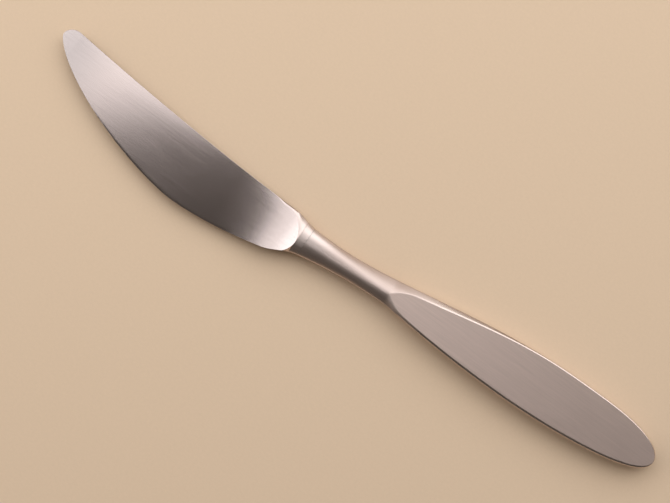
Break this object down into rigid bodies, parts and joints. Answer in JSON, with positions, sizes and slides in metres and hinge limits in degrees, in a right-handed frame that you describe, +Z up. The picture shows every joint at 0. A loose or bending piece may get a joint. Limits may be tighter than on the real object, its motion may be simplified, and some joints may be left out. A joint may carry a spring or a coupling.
{
  "type": "table knife",
  "caption": "Stainless table knife with a broad curved blade, a round neck and a flat-faced hollow handle that widens to a rounded butt.",
  "frame": {"origin": "middle of the box round the knife as it lies flat, on the surface that it lies on", "axes": "+X along the knife from the tip to the butt, +Y from the cutting edge to the spine, +Z up, out of the front face"},
  "size_m": [0.2102, 0.0274, 0.0065],
  "materials": {
    "blade_steel": "fine brushing along the length",
    "handle_steel": "satin, brushed along the length",
    "braze": "ground flush with the handle",
    "solder": "ground flush with the neck",
    "cement": "matt, as set"
  },
  "bodies": {
    "root": {"blade": "blade_steel", "handle_front_shell": "handle_steel", "handle_back_shell": "handle_steel", "seam_braze": "braze", "neck_solder": "solder", "tang_cement": "cement"}
  },
  "joints": []
}
